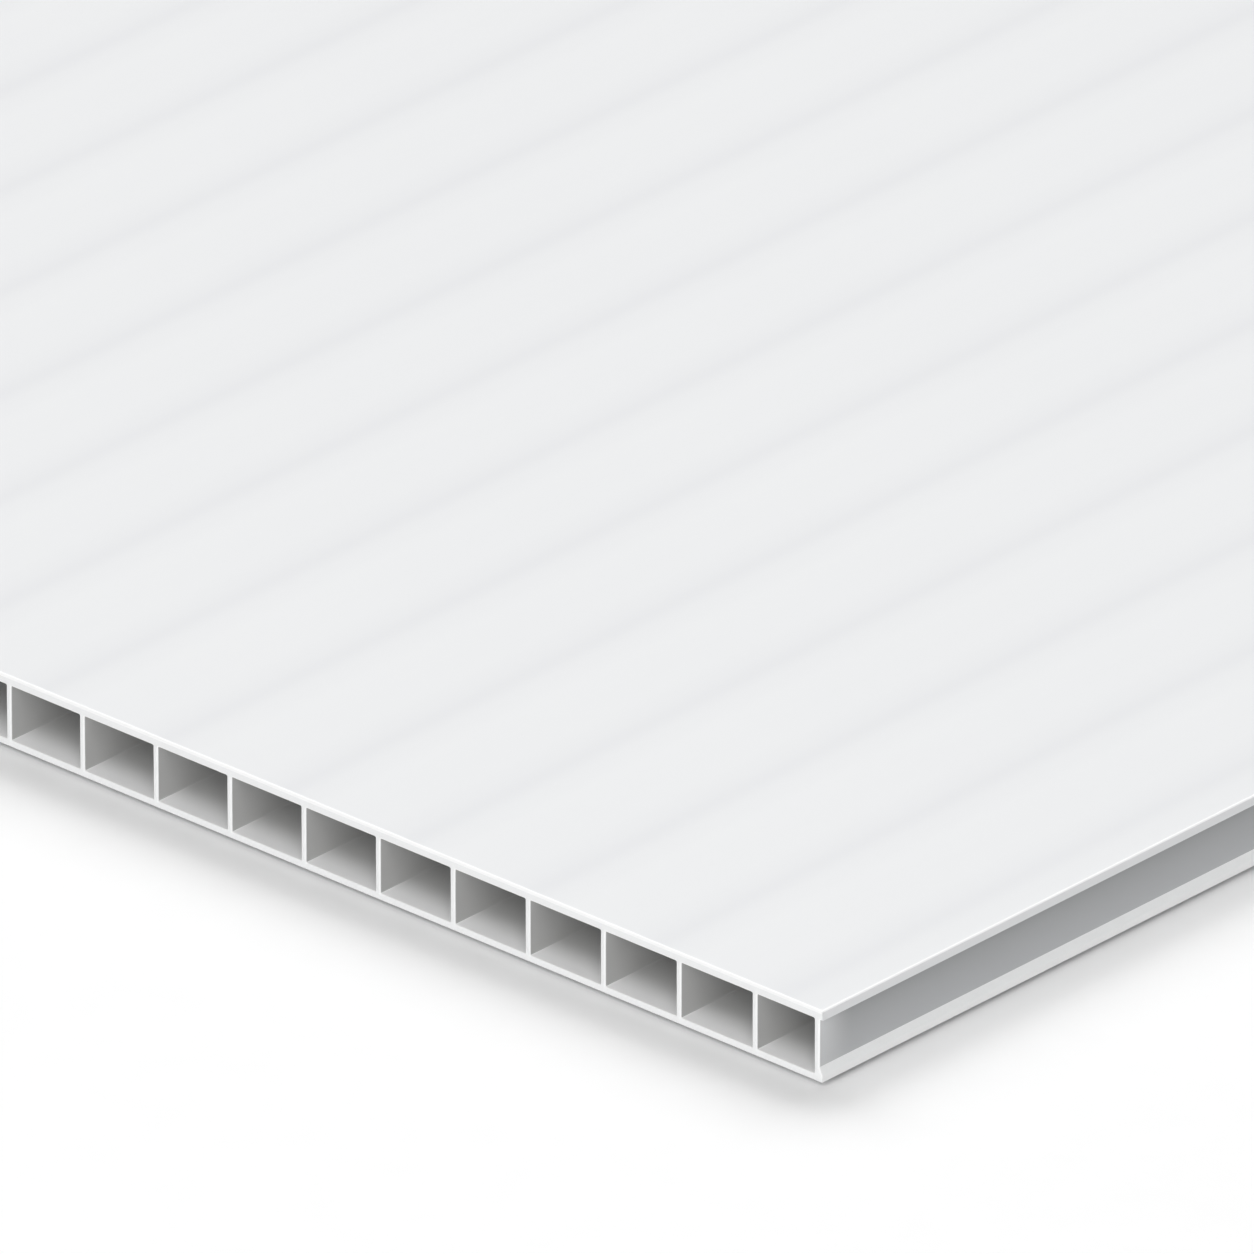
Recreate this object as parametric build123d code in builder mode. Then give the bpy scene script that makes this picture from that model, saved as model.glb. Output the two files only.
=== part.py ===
from build123d import *
from math import floor
import os

# Twin-wall fluted plastic sheet, cut to a small panel and lying flat.
# It is one extrusion: two flat skins held apart by a row of thin upright webs.
# The flutes run along Y and the webs stand side by side along X.
# The underside lies on Z = 0 and the origin is under the middle of the sheet. Sizes are in mm.

# The panel as it was cut
sheet_width = 210.0
sheet_length = 297.0
sheet_thickness = 4.0

# Walls of the extrusion. The upper skin is a little thicker than the lower one.
upper_skin_thickness = 0.52
lower_skin_thickness = 0.38
web_thickness = 0.32
web_pitch = 5.15

# Rounding of the corners inside the flutes, where a web meets a skin
web_fillet = 0.08

# Long sides: the skins run out just past the last web and leave a shallow open channel.
# The foot of the last web slopes out to the edge of the lower skin.
end_web_thickness = 0.34
side_lip = 0.2
foot_height = 0.45

# Rounding of the skins' outer edges: the knife enters through the upper skin and rounds it more
upper_edge_radius = 0.14
lower_edge_radius = 0.05

# A flute is what is left between two webs and two skins
flute_height = sheet_thickness - upper_skin_thickness - lower_skin_thickness
flute_width = web_pitch - web_thickness
flute_centre_height = lower_skin_thickness + flute_height / 2

# Full cells keep the pitch. What is left of the width is shared by the two end cells,
# so each of them is narrower than a full cell but at least half as wide.
end_web_face = sheet_width / 2 - side_lip
end_web_span = 2 * end_web_face - end_web_thickness
full_cells = floor(end_web_span / web_pitch) - 1
full_cells_width = full_cells * web_pitch

# The end flute lies between the outermost full-cell web and the end web
end_flute_inner = full_cells_width / 2 + web_thickness / 2
end_flute_outer = end_web_face - end_web_thickness
end_flute_width = end_flute_outer - end_flute_inner
end_flute_centre = (end_flute_outer + end_flute_inner) / 2


def flute_pair(distance):
    """Return the two places that lie this far from the sheet's middle, halfway up the flutes."""
    return Locations((-distance, flute_centre_height), (distance, flute_centre_height))


with BuildPart() as fluted_sheet:
    # Cross-section, seen along the flutes
    with BuildSketch(Plane.XZ) as section:
        with Locations((0, sheet_thickness / 2)):
            Rectangle(sheet_width, sheet_thickness)

        # One opening for each full cell
        with Locations((0, flute_centre_height)):
            with GridLocations(web_pitch, 0, full_cells, 1):
                RectangleRounded(flute_width, flute_height, web_fillet, mode=Mode.SUBTRACT)

        # The narrower end cells
        with flute_pair(end_flute_centre):
            RectangleRounded(end_flute_width, flute_height, web_fillet, mode=Mode.SUBTRACT)

        # Open channels along the sides: half of each opening lies outside the sheet
        with flute_pair(sheet_width / 2):
            RectangleRounded(2 * side_lip, flute_height, web_fillet, mode=Mode.SUBTRACT)

        # Sloping feet of the end webs, from the channel's wall down to the skin's edge
        with BuildLine():
            Polyline(
                (end_web_face, lower_skin_thickness + foot_height),
                (sheet_width / 2, lower_skin_thickness),
                (end_web_face, lower_skin_thickness),
                close=True,
            )
        foot = make_face()
        mirror(foot, about=Plane.YZ)

    extrude(amount=sheet_length / 2, both=True)

    # All four sides of both skins are rounded along their outer edges
    outer_faces = fluted_sheet.faces().filter_by(Axis.Z).sort_by(Axis.Z)
    fillet(outer_faces[-1].edges(), upper_edge_radius)
    outer_faces = fluted_sheet.faces().filter_by(Axis.Z).sort_by(Axis.Z)
    fillet(outer_faces[0].edges(), lower_edge_radius)

fluted_sheet.part.label = "fluted_sheet"

os.makedirs("parts", exist_ok=True)
export_step(fluted_sheet.part, "parts/fluted_sheet.step")
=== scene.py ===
"""Looks of a twin-wall fluted plastic sheet lying on a pale studio floor.

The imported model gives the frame. The sheet shown here is one closed skin over the same section,
with the fine rounding that a knife leaves round every flute mouth. Lengths are in metres, or in
millimetres where a name ends in _mm.
"""

import logging
import math
from dataclasses import dataclass, field
from enum import IntEnum
from typing import Any

import bmesh
import bpy
import numpy as np
from mathutils import Matrix, Vector


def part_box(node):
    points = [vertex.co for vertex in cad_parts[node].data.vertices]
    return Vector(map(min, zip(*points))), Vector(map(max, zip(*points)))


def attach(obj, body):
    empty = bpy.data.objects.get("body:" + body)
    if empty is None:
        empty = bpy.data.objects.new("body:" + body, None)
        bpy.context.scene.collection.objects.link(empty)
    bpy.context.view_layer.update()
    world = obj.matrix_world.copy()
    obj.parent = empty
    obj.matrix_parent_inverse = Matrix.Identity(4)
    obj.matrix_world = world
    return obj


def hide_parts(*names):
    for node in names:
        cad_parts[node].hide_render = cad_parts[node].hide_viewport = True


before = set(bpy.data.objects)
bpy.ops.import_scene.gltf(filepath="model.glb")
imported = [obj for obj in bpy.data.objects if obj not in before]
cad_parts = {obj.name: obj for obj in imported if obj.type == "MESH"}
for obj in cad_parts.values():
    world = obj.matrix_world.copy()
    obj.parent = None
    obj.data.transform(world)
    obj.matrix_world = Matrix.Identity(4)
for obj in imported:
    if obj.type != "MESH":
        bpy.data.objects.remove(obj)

MM = 0.001
WELD = 0.0002 * MM
STATION_DECIMALS = 9
SHEET_NODE = "fluted_sheet"
PLASTIC_IOR = 1.49

# A Mix node has sockets for every kind of data, so its inputs and outputs are told by number
MIX_SHARE = 0
MIX_VALUES = (2, 3)
MIX_COLOURS = (6, 7)
MIX_VALUE_OUT = 0
MIX_COLOUR_OUT = 2

Colour = tuple[float, float, float, float]
Socket = bpy.types.NodeSocket
Tree = bpy.types.NodeTree

log = logging.getLogger("fluted_sheet")


def linear(hex_colour: str) -> Colour:
    """Turn an sRGB hex colour into linear light.

    Args:
        hex_colour: Six hex digits with a leading #.

    Returns:
        Linear red, green, blue and an alpha of one.
    """
    srgb = np.array([int(hex_colour[i:i + 2], 16) for i in (1, 3, 5)]) / 255.0
    light = np.where(srgb <= 0.04045, srgb / 12.92, ((srgb + 0.055) / 1.055) ** 2.4)
    return (*light.tolist(), 1.0)


def direction(azimuth: float, elevation: float) -> Vector:
    """Point from the object to a place round it.

    Args:
        azimuth: Degrees from the front, positive towards the right.
        elevation: Degrees above the floor.

    Returns:
        A vector of length one.
    """
    turn, lift = math.radians(azimuth), math.radians(elevation)
    flat = math.cos(lift)
    return Vector((math.sin(turn) * flat, -math.cos(turn) * flat, math.sin(lift)))


def add_node(
    tree: Tree,
    kind: str,
    settings: dict[str, Any] | None = None,
    inputs: dict[str | int, Any] | None = None,
) -> bpy.types.Node:
    """Add one node with its settings, and fill or link its inputs.

    Args:
        tree: Node tree that gets the node.
        kind: Blender's type name of the node.
        settings: Property names and their values.
        inputs: Input names or numbers, each with a value or with an output to link from.

    Returns:
        The new node.
    """
    node = tree.nodes.new(kind)
    for name, value in (settings or {}).items():
        setattr(node, name, value)
    for name, value in (inputs or {}).items():
        if isinstance(value, Socket):
            tree.links.new(value, node.inputs[name])
        else:
            node.inputs[name].default_value = value
    return node


def add_math(tree: Tree, operation: str, *values: float | Socket, clamp: bool = False) -> Socket:
    """Add one mathematical operation.

    Args:
        tree: Node tree that gets the node.
        operation: Blender's name of the operation.
        values: What it works on, each a number or an output.
        clamp: Whether the result is held between 0 and 1.

    Returns:
        The result.
    """
    settings = {"operation": operation, "use_clamp": clamp}
    return add_node(tree, "ShaderNodeMath", settings, dict(enumerate(values))).outputs[0]


def add_range(
    tree: Tree,
    shape: str,
    value: Socket,
    source: tuple[float, float],
    result: tuple[float, float] = (0.0, 1.0),
) -> Socket:
    """Map one stretch of values onto another, and hold the end values beyond it.

    Args:
        tree: Node tree that gets the node.
        shape: Blender's name of the interpolation.
        value: Value to map.
        source: Values at the two ends of the stretch.
        result: What they become.

    Returns:
        The mapped value.
    """
    inputs = {
        "Value": value,
        "From Min": source[0],
        "From Max": source[1],
        "To Min": result[0],
        "To Max": result[1],
    }
    return add_node(tree, "ShaderNodeMapRange", {"interpolation_type": shape}, inputs).outputs[0]


def add_noise(tree: Tree, place: Socket, size_mm: float, detail: float) -> Socket:
    """Add noise.

    Args:
        tree: Node tree that gets the node.
        place: Coordinates.
        size_mm: Rough size of its blots.
        detail: How many times finer noise is added to it.

    Returns:
        A value from 0 to 1.
    """
    inputs = {"Vector": place, "Scale": 1 / (size_mm * MM), "Detail": detail}
    return add_node(tree, "ShaderNodeTexNoise", {}, inputs).outputs[0]


def add_bump(
    tree: Tree, height: Socket, depth_mm: float, strength: float, under: Socket | None = None,
) -> Socket:
    """Bend the normal by a height.

    Args:
        tree: Node tree that gets the node.
        height: Height from 0 to 1.
        depth_mm: How much the surface rises from 0 to 1.
        strength: Share of the bend that is kept.
        under: Normal that is bent further, if the surface's own one isn't meant.

    Returns:
        The bent normal.
    """
    inputs = {"Height": height, "Distance": depth_mm * MM, "Strength": strength}
    if under is not None:
        inputs["Normal"] = under
    return add_node(tree, "ShaderNodeBump", {}, inputs).outputs[0]


def mix_colours(tree: Tree, share: Socket, first: Colour | Socket, second: Colour | Socket) -> Socket:
    """Mix two colours.

    Args:
        tree: Node tree that gets the node.
        share: Share of the second colour, from 0 to 1.
        first: Colour at 0.
        second: Colour at 1.

    Returns:
        The mixed colour.
    """
    inputs = {MIX_SHARE: share, MIX_COLOURS[0]: first, MIX_COLOURS[1]: second}
    return add_node(tree, "ShaderNodeMix", {"data_type": "RGBA"}, inputs).outputs[MIX_COLOUR_OUT]


def new_material(name: str) -> tuple[bpy.types.Material, Tree, Socket]:
    """Return an empty node material, its tree and the piece's own coordinates in it."""
    material = bpy.data.materials.new(name)
    material.use_nodes = True
    tree = material.node_tree
    tree.nodes.clear()
    return material, tree, add_node(tree, "ShaderNodeTexCoord").outputs["Object"]


def shade(tree: Tree, inputs: dict[str, Any]) -> None:
    """Add the surface's shader with these inputs, and the material's output."""
    shader = add_node(tree, "ShaderNodeBsdfPrincipled", {}, inputs)
    add_node(tree, "ShaderNodeOutputMaterial", {}, {"Surface": shader.outputs[0]})


class Zone(IntEnum):
    """Part of the sheet's surface. The number is the material's place on the piece."""

    SKIN = 0
    LINING = 1
    WEB = 2
    CUT = 3
    RIM = 4
    END_WEB = 5


@dataclass(frozen=True)
class DieLines:
    """Faint lines that the extrusion die draws along the flutes."""

    spacing_mm: float = 0.35
    run_mm: float = 60.0
    depth_mm: float = 0.002
    strength: float = 0.5
    detail: float = 3.0

    def bump(self, tree: Tree, place: Socket, under: Socket | None = None) -> Socket:
        """Bend the normal by noise that is squeezed across the sheet and stretched along it.

        Args:
            tree: Tree that gets the nodes.
            place: Object coordinates.
            under: Normal that is bent further, if the surface's own one isn't meant.

        Returns:
            The bent normal.
        """
        across, along = 1 / (self.spacing_mm * MM), 1 / (self.run_mm * MM)
        stretched = add_node(
            tree, "ShaderNodeMapping", {"vector_type": "POINT"},
            {"Vector": place, "Scale": (across, along, across)},
        )
        noise = add_node(
            tree, "ShaderNodeTexNoise", {},
            {"Vector": stretched.outputs[0], "Scale": 1.0, "Detail": self.detail},
        )
        return add_bump(tree, noise.outputs[0], self.depth_mm, self.strength, under)


@dataclass(frozen=True)
class ExtrudedSkin:
    """White polypropylene, extruded and drawn through cooled plates, so it is smooth with a satin sheen.

    The plates leave soft shallow stripes along the sheet, shaped by a bump. The nearly even white
    turns a touch greyer and cooler in each stripe as painted shade, with a slightly paler band beside
    it as painted light.
    """

    pale: str = "#E4E5E6"
    shaded: str = "#DDDEE0"
    roughness: float = 0.5
    stripe_pitch_mm: float = 8.5
    stripe_from_edge_mm: float = 2.6
    stripe_depth_mm: float = 0.004
    stripe_strength: float = 1.0
    cloud_mm: float = 26.0
    cloud_detail: float = 2.0
    cloud_swing: float = 0.3
    lines: DieLines = DieLines()

    # Millimetres from a stripe's middle, and the tone there. The ramp smooths the tones,
    # so the middle has one under 0 and comes out near 0.
    stripe_tones: tuple[tuple[float, float], ...] = (
        (-3.9, 0.86), (-2.4, 0.86), (-1.7, 0.66), (-0.8, 0.45), (-0.1, -0.12), (0.5, 0.40),
        (1.0, 0.70), (1.8, 0.78), (2.5, 1.0), (3.3, 0.9),
    )
    stripe_middle: float = 0.5

    def material(self, sheet_width: float) -> bpy.types.Material:
        """Build the skin's material.

        Args:
            sheet_width: Width of the sheet, so that the stripes can be counted from its side.

        Returns:
            The material.
        """
        material, tree, place = new_material("polypropylene_extruded_satin")
        across = add_node(tree, "ShaderNodeSeparateXYZ", {}, {0: place}).outputs["X"]

        # Place in the stripe pattern, which rises towards the right side
        first = sheet_width / 2 - self.stripe_from_edge_mm * MM
        shifted = add_math(tree, "SUBTRACT", across, first)
        counted = add_math(
            tree, "MULTIPLY_ADD", shifted, 1 / (self.stripe_pitch_mm * MM), self.stripe_middle,
        )
        profile = self._stripe_profile(tree, add_math(tree, "FRACT", counted))

        # Broad, very weak clouds keep the white from looking painted on
        cloud = add_noise(tree, place, self.cloud_mm, self.cloud_detail)
        cloudy = add_math(tree, "MULTIPLY_ADD", cloud, self.cloud_swing, -self.cloud_swing / 2)
        tone = add_math(tree, "ADD", profile, cloudy, clamp=True)
        # Painted shade in each stripe's core and painted light in its pale band, plus the clouds' random tone
        colour = mix_colours(tree, tone, linear(self.shaded), linear(self.pale))
        striped = add_bump(tree, profile, self.stripe_depth_mm, self.stripe_strength)
        normal = self.lines.bump(tree, place, striped)
        shade(tree, {"Base Color": colour, "Roughness": self.roughness, "IOR": PLASTIC_IOR, "Normal": normal})
        return material

    def _stripe_profile(self, tree: Tree, phase: Socket) -> Socket:
        """Shape one stripe: a soft ramp in from the left, a dark core, a sharper ramp out and a pale band.

        Args:
            tree: Tree that gets the node.
            phase: Place across one stripe pitch, from 0 to 1.

        Returns:
            Tone from 0 in the core to 1 in the pale band.
        """
        ramp = add_node(tree, "ShaderNodeValToRGB", {}, {"Fac": phase})
        ramp.color_ramp.interpolation = "B_SPLINE"
        elements = ramp.color_ramp.elements
        while len(elements) < len(self.stripe_tones):
            elements.new(self.stripe_middle)
        for element, (place_mm, tone) in zip(elements, self.stripe_tones):
            element.position = self.stripe_middle + place_mm / self.stripe_pitch_mm
            element.color = (tone, tone, tone, 1.0)
        return ramp.outputs[0]


@dataclass(frozen=True)
class FluteWall:
    """The same polypropylene inside the flutes, cooled in air and so duller than the outer skins.

    Its grey is painted shade that stands in for the dark inside of the flutes and of the side channel.
    Within a few millimetres of each cut the colour turns to a mouth tone, which on the skins' inner
    faces and the end web is paler: painted light falling in at the mouth. A wall may also turn evenly
    towards another grey on its way down to its foot; on the end web this is painted shade under the lip
    that lightens towards the foot.
    """

    name: str
    colour: str
    mouth_tone: str
    foot: str | None = None
    mouth_tone_mm: float = 2.6
    roughness: float = 0.55
    lines: DieLines = DieLines(spacing_mm=0.25, depth_mm=0.004, strength=0.6)

    def material(self, length: float, thickness: float) -> bpy.types.Material:
        """Build the wall's material.

        Args:
            length: Length of the sheet.
            thickness: Thickness of the sheet.

        Returns:
            The material.
        """
        material, tree, place = new_material(self.name)
        parts = add_node(tree, "ShaderNodeSeparateXYZ", {}, {0: place})
        # The wall's own grey is painted shade of the dark inside of the flutes and the channel
        plain: Any = linear(self.colour)
        # Turning towards the foot's paler grey: painted shade under the lip that lightens downwards
        if self.foot:
            down = add_range(tree, "LINEAR", parts.outputs["Z"], (thickness, 0.0))
            plain = mix_colours(tree, down, plain, linear(self.foot))

        # Share of the mouth tone falls from 1 at either cut to 0 at the end of its band; where that tone is
        # paler it is painted light
        away = add_math(tree, "ABSOLUTE", parts.outputs["Y"])
        band = (length / 2 - self.mouth_tone_mm * MM, length / 2)
        mouth_share = add_range(tree, "SMOOTHSTEP", away, band)
        colour = mix_colours(tree, mouth_share, plain, linear(self.mouth_tone))
        normal = self.lines.bump(tree, place)
        shade(tree, {"Base Color": colour, "Roughness": self.roughness, "IOR": PLASTIC_IOR, "Normal": normal})
        return material


@dataclass(frozen=True)
class KnifeCut:
    """Cut polypropylene: the blade shears it dull, and its colour is whiter than the skin as painted light.

    It is darker at the top and whitest at the lower skin: painted shade and painted light that even out
    how the lamps and the shadowed floor light the cut face.
    """

    upper_tone: str = "#ECEDED"
    lower_painted_light: str = "#FBFCFC"
    roughness: float = 0.6
    shear_mm: float = 0.16
    shear_detail: float = 4.0
    shear_swing: float = 0.35
    shear_depth_mm: float = 0.004
    shear_strength: float = 0.5

    def material(self, thickness: float) -> bpy.types.Material:
        """Build the cut face's material.

        Args:
            thickness: Thickness of the sheet, which the blade passes through from the top.

        Returns:
            The material.
        """
        material, tree, place = new_material("polypropylene_knife_cut")
        up = add_node(tree, "ShaderNodeSeparateXYZ", {}, {0: place}).outputs["Z"]
        shear = add_noise(tree, place, self.shear_mm, self.shear_detail)

        # The noise swings about its middle, so half of its swing comes off the downward painted light
        half = self.shear_swing / 2
        # Painted light: whiter from the top of the cut down to the lower skin, against the shade near the
        # floor
        painted_light_downwards = add_range(tree, "LINEAR", up, (thickness, 0.0), (-half, 1.0 - half))
        tone = add_math(tree, "MULTIPLY_ADD", shear, self.shear_swing, painted_light_downwards, clamp=True)
        colour = mix_colours(tree, tone, linear(self.upper_tone), linear(self.lower_painted_light))
        normal = add_bump(tree, shear, self.shear_depth_mm, self.shear_strength)
        shade(tree, {"Base Color": colour, "Roughness": self.roughness, "IOR": PLASTIC_IOR, "Normal": normal})
        return material


@dataclass(frozen=True)
class PaintedHighlightRim:
    """Rounded edges coloured nearly pure white: a painted highlight, and painted light on the lower lip."""

    colour: str = "#FEFEFE"
    roughness: float = 0.22
    lines: DieLines = DieLines(spacing_mm=0.4, run_mm=3.0, strength=0.4)

    def material(self) -> bpy.types.Material:
        """Build the rim's material."""
        material, tree, place = new_material("polypropylene_rim_painted_highlight")
        normal = self.lines.bump(tree, place)
        # Nearly pure white: painted highlight on rounded edges and mouths, painted light on the lower lip
        colour = linear(self.colour)
        shade(tree, {"Base Color": colour, "Roughness": self.roughness, "IOR": PLASTIC_IOR, "Normal": normal})
        return material


@dataclass(frozen=True)
class MattFloor:
    """White matt laminate, which shows as plain white with the sheet's shadow on it."""

    colour: str = "#FEFEFE"
    speckle: str = "#FBFBFB"
    roughness: float = 0.9
    specular_level: float = 0.1
    grain_mm: float = 3.0
    grain_detail: float = 3.0

    def material(self) -> bpy.types.Material:
        """Build the floor's material."""
        material, tree, place = new_material("laminate_white_matt")
        grain = add_noise(tree, place, self.grain_mm, self.grain_detail)
        colour = mix_colours(tree, grain, linear(self.speckle), linear(self.colour))
        shade(tree, {
            "Base Color": colour, "Roughness": self.roughness, "Specular IOR Level": self.specular_level,
        })
        return material


@dataclass
class Surface:
    """Many grids of points gathered into one mesh."""

    points: list[np.ndarray] = field(default_factory=list)
    quads: list[np.ndarray] = field(default_factory=list)
    zones: list[np.ndarray] = field(default_factory=list)
    count: int = 0

    def add(self, grids: np.ndarray, zone: int | np.ndarray = 0, closed: bool = False) -> None:
        """Add grids of quads.

        Args:
            grids: Points as (..., rows, columns, 3).
            zone: Number of these faces' finish, or one for each column of faces.
            closed: Whether the last column joins the first.
        """
        rows, columns = grids.shape[-3:-1]
        flat = grids.reshape(-1, rows, columns, 3)
        numbers = np.arange(len(flat) * rows * columns).reshape(-1, rows, columns) + self.count
        if closed:
            numbers = np.concatenate([numbers, numbers[:, :, :1]], axis=2)
        quads = np.stack(
            [numbers[:, :-1, :-1], numbers[:, :-1, 1:], numbers[:, 1:, 1:], numbers[:, 1:, :-1]], axis=-1,
        )
        self.points.append(flat.reshape(-1, 3))
        self.quads.append(quads.reshape(-1, 4))
        self.zones.append(np.broadcast_to(zone, quads.shape[:-1]).ravel())
        self.count += flat.shape[0] * rows * columns

    def mesh(self, name: str) -> bpy.types.Mesh:
        """Weld the grids into one mesh whose faces all point the same way, outwards if it is closed.

        Args:
            name: Name of the mesh.

        Returns:
            The mesh, with each face's finish set.
        """
        points, quads = np.concatenate(self.points), np.concatenate(self.quads)
        mesh = bpy.data.meshes.new(name)
        mesh.vertices.add(len(points))
        mesh.vertices.foreach_set("co", points.astype(np.float32).ravel())
        mesh.loops.add(quads.size)
        mesh.loops.foreach_set("vertex_index", quads.ravel().astype(np.int32))
        mesh.polygons.add(len(quads))
        mesh.polygons.foreach_set("loop_start", np.arange(0, quads.size, 4, dtype=np.int32))
        mesh.polygons.foreach_set("material_index", np.concatenate(self.zones).astype(np.int32))
        mesh.update(calc_edges=True)

        welded = bmesh.new()
        welded.from_mesh(mesh)
        bmesh.ops.remove_doubles(welded, verts=welded.verts, dist=WELD)
        bmesh.ops.recalc_face_normals(welded, faces=welded.faces)
        welded.to_mesh(mesh)
        welded.free()
        mesh.update()
        return mesh


@dataclass(frozen=True)
class FlutedSheet:
    """The sheet: two skins on upright webs, with open channels along its sides."""

    width: float
    length: float
    thickness: float
    upper_skin: float = 0.52 * MM
    lower_skin: float = 0.38 * MM
    web: float = 0.32 * MM
    end_web: float = 0.34 * MM
    web_pitch: float = 5.15 * MM
    side_lip: float = 0.2 * MM
    foot_height: float = 0.45 * MM
    fillet: float = 0.08 * MM
    upper_edge_round: float = 0.14 * MM
    lower_edge_round: float = 0.05 * MM
    mouth_round: float = 0.06 * MM
    corner_steps: int = 6
    edge_steps: int = 6
    mouth_steps: int = 3
    lengths_between_ends: int = 6
    drawn_edge_steps: int = 2
    crease_degrees: float = 40.0
    face_area_weight: int = 100

    def flute_height(self) -> float:
        """Clear height between the skins."""
        return self.thickness - self.upper_skin - self.lower_skin

    def flute_middle(self) -> float:
        """Height of the middle of every flute."""
        return self.lower_skin + self.flute_height() / 2

    def end_web_span(self) -> float:
        """Distance between the middles of the two end webs."""
        return self.width - 2 * self.side_lip - self.end_web

    def web_lines(self) -> tuple[np.ndarray, np.ndarray]:
        """Find the webs: whole cells at the pitch, and what is left shared by the two end cells.

        Returns:
            Middle of each web across the sheet, and half of its thickness.
        """
        span = self.end_web_span()
        full_cells = math.floor(span / self.web_pitch) - 1
        full = (np.arange(full_cells + 1) - full_cells / 2) * self.web_pitch
        middles = np.concatenate([[-span / 2], full, [span / 2]])
        halves = np.full(len(middles), self.web / 2)
        halves[[0, -1]] = self.end_web / 2
        return middles, halves

    def mouth_path(self) -> tuple[np.ndarray, np.ndarray]:
        """Path along a flute: a quarter round in at one mouth, straight through, and out at the other.

        The opening is wider than the flute by r(1 - cos a) and the path lies r(1 - sin a) inside
        the cut, for an angle a that runs from 90 to 0 degrees.

        Returns:
            Place along the sheet and widening of the opening at each station.
        """
        angle = np.radians(np.linspace(90, 0, self.mouth_steps + 1))
        widening = self.mouth_round * (1 - np.cos(angle))
        place = -self.length / 2 + self.mouth_round * (1 - np.sin(angle))
        between = np.linspace(place[-1], -place[-1], self.lengths_between_ends + 1)[1:-1]
        places = np.concatenate([place, between, -place[::-1]])
        widenings = np.concatenate([widening, np.zeros(len(between)), widening[::-1]])
        return places, widenings

    def flute_loops(self, widening: np.ndarray) -> np.ndarray:
        """Rounded rectangles round every flute: corner centre plus (fillet + widening) times (cos a, sin a).

        Args:
            widening: How far outside the flute's walls each loop runs.

        Returns:
            Points across and up, as (flute, station, point, 2).
        """
        middles, halves = self.web_lines()
        left = (middles[:-1] + halves[:-1])[:, None, None]
        right = (middles[1:] - halves[1:])[:, None, None]
        quarter = np.linspace(0, np.pi / 2, self.corner_steps + 1)
        angle = (quarter + np.arange(4)[:, None] * np.pi / 2).ravel()
        on_right = np.repeat([True, False, False, True], self.corner_steps + 1)
        upward = np.repeat([1, 1, -1, -1], self.corner_steps + 1)
        radius = self.fillet + np.asarray(widening)[None, :, None]
        across = np.where(on_right, right - self.fillet, left + self.fillet) + radius * np.cos(angle)
        up = self.flute_middle() + upward * (self.flute_height() / 2 - self.fillet) + radius * np.sin(angle)
        return np.stack(np.broadcast_arrays(across, up), axis=-1)

    def cell_frames(self, loops: np.ndarray) -> np.ndarray:
        """Push each point of a mouth out to its cell's frame: the web lines and the rounded outer edges.

        The half of a corner that faces a web goes straight sideways, the half that faces a skin goes
        straight up or down, and the middle point goes to the frame's own corner.

        Args:
            loops: Mouths as (flute, point, 2).

        Returns:
            Frame points of the same shape.
        """
        middles, _ = self.web_lines()
        points = self.corner_steps + 1
        step = np.tile(np.arange(points), 4)
        corner = np.repeat(np.arange(4), points)
        half = self.corner_steps // 2
        towards_side = np.where(corner % 2 == 0, step <= half, step >= half)
        towards_skin = np.where(corner % 2 == 0, step >= half, step <= half)
        on_right = (corner == 0) | (corner == 3)
        low, high = self.lower_edge_round, self.thickness - self.upper_edge_round
        side = np.where(on_right, middles[1:, None], middles[:-1, None])
        across = np.where(towards_side, side, loops[..., 0])
        up = np.where(towards_skin, np.where(corner < 2, high, low), loops[..., 1])
        return np.stack([across, up], axis=-1)

    def channel_lines(self, widening: np.ndarray) -> np.ndarray:
        """The right side's open channel: under the lip, down the end web and out over its sloping foot.

        Args:
            widening: How far outside the channel's walls each line runs.

        Returns:
            Points across and up, as (station, point, 2).
        """
        wide = np.asarray(widening)[:, None]
        face, edge = self.width / 2 - self.side_lip, self.width / 2
        ceiling = self.thickness - self.upper_skin
        angle = np.linspace(np.pi / 2, np.pi, self.corner_steps + 1)
        corner_across = face + self.fillet + (self.fillet + wide) * np.cos(angle)
        corner_up = ceiling - self.fillet + (self.fillet + wide) * np.sin(angle)
        down = np.linspace(0, 1, self.corner_steps + 2)
        foot_across = (face - wide) * (1 - down) + edge * down
        foot_up = self.lower_skin + self.foot_height * (1 - down) - wide * down
        across = np.concatenate([np.full_like(wide, edge), corner_across, foot_across], axis=1)
        up = np.concatenate([ceiling + wide, corner_up, foot_up], axis=1)
        return np.stack([across, up], axis=-1)

    def channel_frame(self, line: np.ndarray) -> np.ndarray:
        """Push each point of the channel's mouth to the end web's middle or to the rounded outer edges.

        The foot's first points go to the heights at which the flute's frame meets the same line.

        Args:
            line: The channel's mouth as (point, 2).

        Returns:
            Frame points of the same shape.
        """
        half = self.corner_steps // 2
        place = np.arange(len(line))
        above, below = place <= 1 + half, place >= len(line) - 2 - half
        at_web = (place >= 1 + half) & (place <= len(line) - 2 - half)
        across = np.where(at_web, self.end_web_span() / 2, line[:, 0])
        up = line[:, 1].copy()
        foot = self.corner_steps + 2
        up[foot:foot + half] = 2 * self.flute_middle() - line[foot - 1:foot - 1 - half:-1, 1]
        up[above], up[below] = self.thickness - self.upper_edge_round, self.lower_edge_round
        return np.stack([across, up], axis=-1)

    @staticmethod
    def at(lines: np.ndarray, places: np.ndarray | float) -> np.ndarray:
        """Stand lines of (across, up) at their places along the sheet."""
        along = np.broadcast_to(places, lines.shape[:-1])
        return np.stack([lines[..., 0], along, lines[..., 1]], axis=-1)

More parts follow.
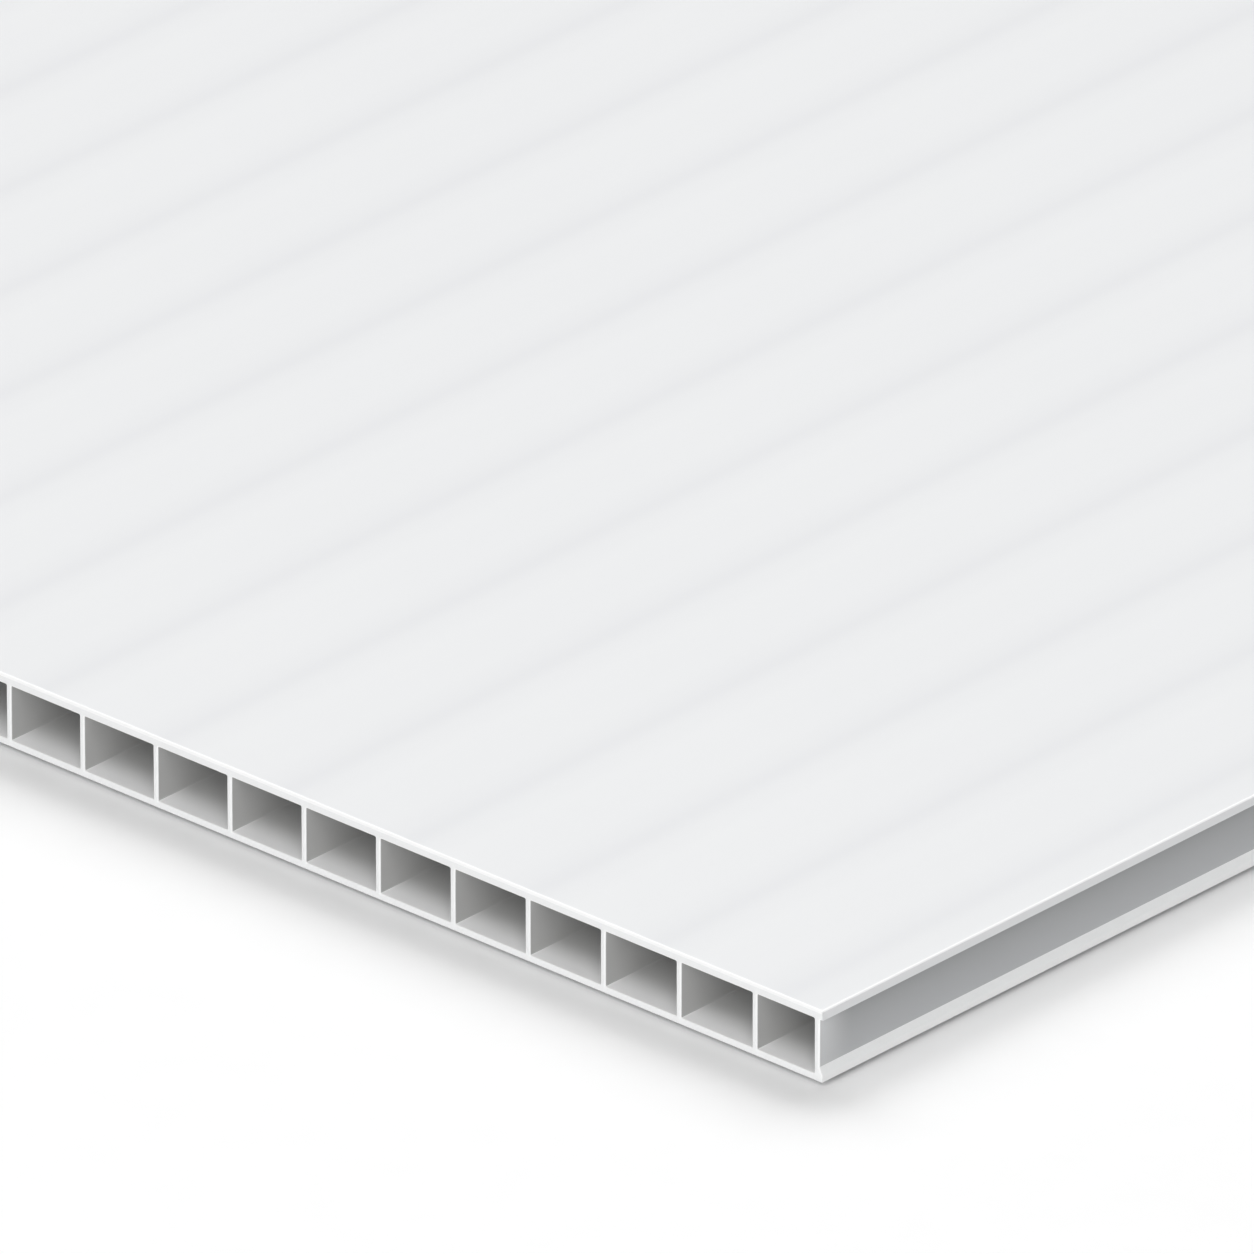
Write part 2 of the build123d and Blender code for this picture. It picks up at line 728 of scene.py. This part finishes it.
    def surface(self) -> Surface:
        """Build the whole skin of the sheet as matching grids."""
        made = Surface()
        places, widenings = self.mouth_path()
        mouth = self.mouth_steps + 1
        flutes = self.at(self.flute_loops(widenings), places[:, None])
        channel = self.at(self.channel_lines(widenings), places[:, None])
        mirror = np.array([-1.0, 1.0, 1.0])
        channels = np.stack([channel, channel * mirror])

        # Walls. The channel's ceiling and foot take the pale cut finish, which on the foot is painted light,
        # and the web between them has its own finish, painted shade.
        made.add(flutes[:, mouth - 1:-mouth + 1], self._wall_zones(flutes[0, mouth]), closed=True)
        channel_zones = np.full(channel.shape[1] - 1, Zone.END_WEB)
        channel_zones[0] = Zone.CUT
        channel_zones[-self.corner_steps - 1:] = Zone.CUT
        made.add(channels[:, mouth - 1:-mouth + 1], channel_zones)

        # Rounded mouths at both ends, coloured white as a painted highlight
        for rounding in (slice(0, mouth), slice(-mouth, None)):
            made.add(flutes[:, rounding], Zone.RIM, closed=True)
            made.add(channels[:, rounding], Zone.RIM)

        # Cut faces at both ends, from each mouth out to the frame of its cell, in the cut finish whose paler
        # colour is painted light
        widest = np.array([self.mouth_round])
        loops, line = self.flute_loops(widest)[:, 0], self.channel_lines(widest)[0]
        frames, edge = self.cell_frames(loops), self.channel_frame(line)
        for end in (-self.length / 2, self.length / 2):
            made.add(np.stack([self.at(loops, end), self.at(frames, end)], axis=1), Zone.CUT, closed=True)
            side = np.stack([self.at(line, end), self.at(edge, end)])
            made.add(np.stack([side, side * mirror]), Zone.CUT)

        self._add_skins(made, np.concatenate([frames.reshape(-1, 2), edge, edge * mirror[:2]]))
        self._add_lips(made, channels)
        return made

    @staticmethod
    def _wall_zones(loop: np.ndarray) -> np.ndarray:
        """Tell the skins' inner faces from the webs by whether a step goes more across than up.

        Args:
            loop: Points round one flute as (point, 3).

        Returns:
            The zone of each column of faces.
        """
        step = np.abs(np.roll(loop, -1, axis=0) - loop)
        return np.where(step[:, 0] > step[:, 2], Zone.LINING, Zone.WEB)

    def _add_skins(self, made: Surface, framed: np.ndarray) -> None:
        """Add both skins: rings of shrinking rectangles over the rounded edge, then the flat face.

        The rounded edges are coloured white as a painted highlight. Along the sides the lowest steps of
        the upper rounding keep the skin's finish, so that this painted white line along the edge is thin.

        Args:
            made: Surface that gets the grids.
            framed: Points across and up of the cut face's frames, which the rounded edges start from.
        """
        angle = np.radians(np.linspace(0, 90, self.edge_steps + 1))
        for radius, face, side, drawn_steps in (
            (self.upper_edge_round, self.thickness, 1.0, self.drawn_edge_steps),
            (self.lower_edge_round, 0.0, -1.0, 0),
        ):
            on_edge = np.isclose(framed[:, 1], face - side * radius, atol=WELD)
            stations = np.unique(np.round(framed[on_edge, 0], STATION_DECIMALS))
            inset = radius * (1 - np.cos(angle))
            limit = self.width / 2 - inset[:, None]
            across = np.clip(stations, -limit, limit)
            height = np.broadcast_to((face - side * radius * (1 - np.sin(angle)))[:, None], across.shape)
            front = np.broadcast_to((-self.length / 2 + inset)[:, None], across.shape)
            near = np.stack([across, front, height], axis=-1)
            far = near * np.array([1.0, -1.0, 1.0])
            # Both ends' rounded edges are coloured white, a painted highlight
            for edge in (near, far):
                made.add(edge, Zone.RIM)
            on_sides = np.where(np.arange(self.edge_steps) < drawn_steps, Zone.SKIN, Zone.RIM)
            for column in (0, -1):
                made.add(np.stack([near[:, column], far[:, column]]), on_sides)
            made.add(np.stack([near[-1], far[-1]]), Zone.SKIN)

    def _add_lips(self, made: Surface, channels: np.ndarray) -> None:
        """Add the four narrow side faces of the lips, from the channel's edge to the rounded outer edge.

        The upper one has the skin's greyer finish as painted shade, and the lower one is coloured white as
        painted light.

        Args:
            made: Surface that gets the grids.
            channels: Points of both channels as (side, station, point, 3).
        """
        stations = channels.shape[1]
        half = np.where(np.arange(stations) < stations // 2, -self.length / 2, self.length / 2)
        # Upper lip darker as painted shade, lower lip white as painted light
        for point, height, zone in (
            (0, self.thickness - self.upper_edge_round, Zone.SKIN),
            (-1, self.lower_edge_round, Zone.RIM),
        ):
            inner = channels[:, :, point]
            outer = inner.copy()
            outer[..., 1] = half
            outer[..., 2] = height
            made.add(np.stack([inner, outer], axis=1), zone)

    def finishes(self) -> dict[Zone, bpy.types.Material]:
        """Make the material of every zone."""
        # Grey walls are painted shade and their pale mouth tones painted light; the end web's darker grey is
        # painted shade in the channel
        lining = FluteWall(
            "polypropylene_inner_skin", colour="#C7C7C6", mouth_tone="#FEFEFE", mouth_tone_mm=2.7,
        )
        web = FluteWall("polypropylene_web", colour="#C4C4C3", mouth_tone="#BFBFBE")
        end_web = FluteWall(
            "polypropylene_end_web", colour="#959697", mouth_tone="#CDCECF", foot="#C4C6C8",
        )
        return {
            Zone.SKIN: ExtrudedSkin().material(self.width),
            Zone.LINING: lining.material(self.length, self.thickness),
            Zone.WEB: web.material(self.length, self.thickness),
            Zone.CUT: KnifeCut().material(self.thickness),
            Zone.RIM: PaintedHighlightRim().material(),
            Zone.END_WEB: end_web.material(self.length, self.thickness),
        }

    def piece(self) -> bpy.types.Object:
        """Make the sheet's object, with a finish for every zone."""
        mesh = self.surface().mesh("sheet_twin_wall")
        finishes = self.finishes()
        for zone in Zone:
            mesh.materials.append(finishes[zone])
        mesh.set_sharp_from_angle(angle=math.radians(self.crease_degrees))
        sheet = bpy.data.objects.new("sheet_twin_wall", mesh)
        bpy.context.scene.collection.objects.link(sheet)

        # Flat faces keep their own normals right up to the roundings beside them
        even = sheet.modifiers.new("flat_faces_first", "WEIGHTED_NORMAL")
        even.mode = "FACE_AREA"
        even.weight = self.face_area_weight
        even.keep_sharp = True
        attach(sheet, "root")
        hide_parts(SHEET_NODE)
        return sheet


@dataclass(frozen=True)
class Lamp:
    """A square soft box aimed at the sheet's near corner."""

    name: str
    azimuth: float
    elevation: float
    distance: float
    size: float
    power: float

    def place(self, target: Vector) -> bpy.types.Object:
        """Hang the lamp.

        Args:
            target: Point that it faces.

        Returns:
            The lamp's object.
        """
        back = direction(self.azimuth, self.elevation)
        light = bpy.data.lights.new(self.name, "AREA")
        light.shape = "SQUARE"
        light.size = self.size
        light.energy = self.power
        lamp = bpy.data.objects.new(self.name, light)
        lamp.location = target + back * self.distance
        lamp.rotation_euler = (-back).to_track_quat("-Z", "Y").to_euler()
        lamp.visible_camera = False
        bpy.context.scene.collection.objects.link(lamp)
        return lamp


@dataclass(frozen=True)
class Studio:
    """Floor, lamps, surrounding light and camera."""

    corner: Vector
    floor_size: float = 6.0
    floor_lines: int = 9
    floor_gap: float = 0.3 * MM
    ambient: float = 0.21
    backdrop: float = 1.0
    lamps: tuple[Lamp, ...] = (
        Lamp("key_behind", azimuth=-160.0, elevation=44.0, distance=2.0, size=1.3, power=15.0),
        Lamp("key_left", azimuth=-122.0, elevation=43.0, distance=2.0, size=1.3, power=15.3),
        Lamp("fill_front", azimuth=27.0, elevation=36.0, distance=1.2, size=1.2, power=11.2),
    )
    lens_mm: float = 850.0
    sensor_mm: float = 36.0
    azimuth: float = 42.41
    elevation: float = 26.27
    distance: float = 1.4821
    corner_right: float = 9.77 * MM
    corner_down: float = 22.84 * MM
    clip_start: float = 0.05
    clip_end: float = 50.0

    def build_floor(self) -> bpy.types.Object:
        """Lay the floor a hair under the sheet, which touches it only on a few high spots."""
        line = np.linspace(-self.floor_size / 2, self.floor_size / 2, self.floor_lines)
        across, along = np.meshgrid(line, line)
        made = Surface()
        made.add(np.stack([across, along, np.full_like(across, -self.floor_gap)], axis=-1))
        mesh = made.mesh("floor")
        if mesh.polygons[0].normal.z < 0:
            mesh.flip_normals()
        mesh.materials.append(MattFloor().material())
        floor = bpy.data.objects.new("floor", mesh)
        bpy.context.scene.collection.objects.link(floor)
        return floor

    def hang_lamps(self) -> list[bpy.types.Object]:
        """Hang every lamp, aimed at the sheet's near corner."""
        return [lamp.place(self.corner) for lamp in self.lamps]

    def surround(self) -> None:
        """Set the even light from all round, which the camera sees as white."""
        world = bpy.data.worlds.new("studio_light")
        world.use_nodes = True
        tree = world.node_tree
        tree.nodes.clear()
        path = add_node(tree, "ShaderNodeLightPath")
        seen = path.outputs["Is Camera Ray"]
        strength = add_node(
            tree, "ShaderNodeMix", {"data_type": "FLOAT"},
            {MIX_SHARE: seen, MIX_VALUES[0]: self.ambient, MIX_VALUES[1]: self.backdrop},
        )
        background = add_node(
            tree, "ShaderNodeBackground", {},
            {"Color": (1.0, 1.0, 1.0, 1.0), "Strength": strength.outputs[MIX_VALUE_OUT]},
        )
        add_node(tree, "ShaderNodeOutputWorld", {}, {"Surface": background.outputs[0]})
        bpy.context.scene.world = world

    def place_camera(self) -> bpy.types.Object:
        """Set the camera so that the sheet's near corner falls where the picture has it."""
        back = direction(self.azimuth, self.elevation)
        right = Vector((0.0, 0.0, 1.0)).cross(back).normalized()
        up = back.cross(right)
        middle = self.corner - right * self.corner_right + up * self.corner_down
        data = bpy.data.cameras.new("camera")
        data.lens = self.lens_mm
        data.sensor_width = self.sensor_mm
        data.clip_start = self.clip_start
        data.clip_end = self.clip_end
        camera = bpy.data.objects.new("camera", data)
        turned = Matrix((right, up, back)).transposed().to_4x4()
        turned.translation = middle + back * self.distance
        camera.matrix_world = turned
        bpy.context.scene.collection.objects.link(camera)
        bpy.context.scene.camera = camera
        return camera


def main() -> None:
    """Build the sheet and the studio in order."""
    logging.basicConfig(level=logging.INFO, format="%(message)s")
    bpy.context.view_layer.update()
    low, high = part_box(SHEET_NODE)
    bpy.context.scene.view_settings.view_transform = "Standard"

    sheet = FlutedSheet(*(high - low)).piece()
    log.info("%s: %d faces", sheet.name, len(sheet.data.polygons))

    studio = Studio(corner=Vector((high.x, low.y, low.z)))
    floor = studio.build_floor()
    log.info("%s: %d faces", floor.name, len(floor.data.polygons))
    for lamp in studio.hang_lamps():
        log.info("%s: %.1f W", lamp.name, lamp.data.energy)
    studio.surround()
    camera = studio.place_camera()
    log.info("%s: %.0f mm lens", camera.name, camera.data.lens)


if __name__ == "__main__":
    main()
